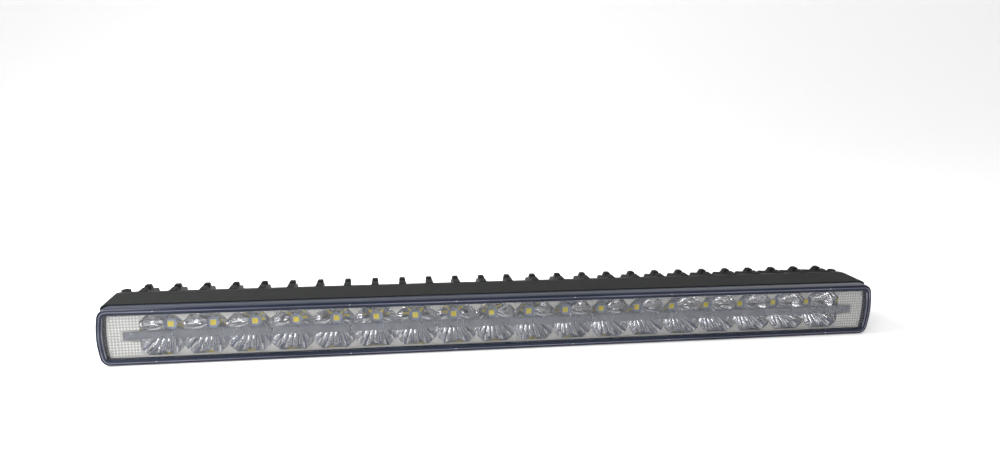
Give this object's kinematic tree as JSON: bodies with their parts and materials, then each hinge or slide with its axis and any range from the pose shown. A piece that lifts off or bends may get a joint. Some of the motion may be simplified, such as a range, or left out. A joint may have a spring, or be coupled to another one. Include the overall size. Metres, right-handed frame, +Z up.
{
  "type": "led light bar",
  "caption": "Slim single-row LED light bar for vehicles: die-cast finned housing, clear lens, two reflector modules, a position-light strip, driver, cable gland and breather.",
  "frame": {"origin": "centre of the bar's footprint, on the plane that its flat underside rests on", "axes": "+X along the bar's length, to the right seen from the front; the lens faces -Y; +Z up across the bar's height"},
  "size_m": [0.4964, 0.0666, 0.0355],
  "materials": {
    "black_powder_coat": "fine-texture black powder coat over die-cast aluminium",
    "clear_polycarbonate": "clear hard-coated polycarbonate, glossy",
    "black_silicone": "matt black silicone",
    "metallised_plastic": "vacuum-metallised polycarbonate, mirror cells and a fine dot grain on the bezel",
    "frosted_light_guide": "translucent light-guide plastic with fine flutes",
    "led_package": "pale ceramic LED package",
    "white_solder_mask": "pale blue-grey solder mask on a metal-core board",
    "thermal_pad": "grey gap-filler pad",
    "yellow_phosphor": "yellow phosphor tile",
    "zinc_steel": "zinc-plated steel",
    "insulating_film": "amber insulating film",
    "green_solder_mask": "green solder mask on glass-epoxy board",
    "ferrite": "moulded ferrite",
    "capacitor_can": "plain aluminium can",
    "chip_epoxy": "moulded black epoxy",
    "terminal_plastic": "green moulded plastic",
    "brass_pin": "tinned brass",
    "black_nylon": "glass-filled black nylon",
    "white_membrane": "porous membrane",
    "stainless_steel": "turned stainless steel"
  },
  "bodies": {
    "root": {"housing": "black_powder_coat", "lens": "clear_polycarbonate", "lens_seal": "black_silicone", "reflector_left": "metallised_plastic", "reflector_right": "metallised_plastic", "position_light_guide": "frosted_light_guide", "position_leds": "led_package", "led_board_left": "white_solder_mask", "led_board_right": "white_solder_mask", "thermal_pad_left": "thermal_pad", "thermal_pad_right": "thermal_pad", "led_01": "led_package", "led_02": "led_package", "led_03": "led_package", "led_04": "led_package", "led_05": "led_package", "led_06": "led_package", "led_07": "led_package", "led_08": "led_package", "led_09": "led_package", "led_10": "led_package", "led_11": "led_package", "led_12": "led_package", "led_13": "led_package", "led_14": "led_package", "led_15": "led_package", "led_16": "led_package", "led_17": "led_package", "led_18": "led_package", "led_phosphors": "yellow_phosphor", "board_screws": "zinc_steel", "driver_screws": "zinc_steel", "driver_insulator": "insulating_film", "driver_board": "green_solder_mask", "driver_inductors": "ferrite", "driver_capacitors": "capacitor_can", "driver_chips": "chip_epoxy", "driver_switches": "chip_epoxy", "input_terminal": "terminal_plastic", "output_header": "chip_epoxy", "output_pins": "brass_pin", "cable_gland_body": "black_nylon", "gland_nut": "black_nylon", "gland_o_ring": "black_silicone", "gland_bush": "black_silicone", "breather_vent": "black_nylon", "breather_ring": "black_silicone", "breather_membrane": "white_membrane", "mount_insert_left": "stainless_steel", "mount_insert_right": "stainless_steel"}
  },
  "joints": []
}
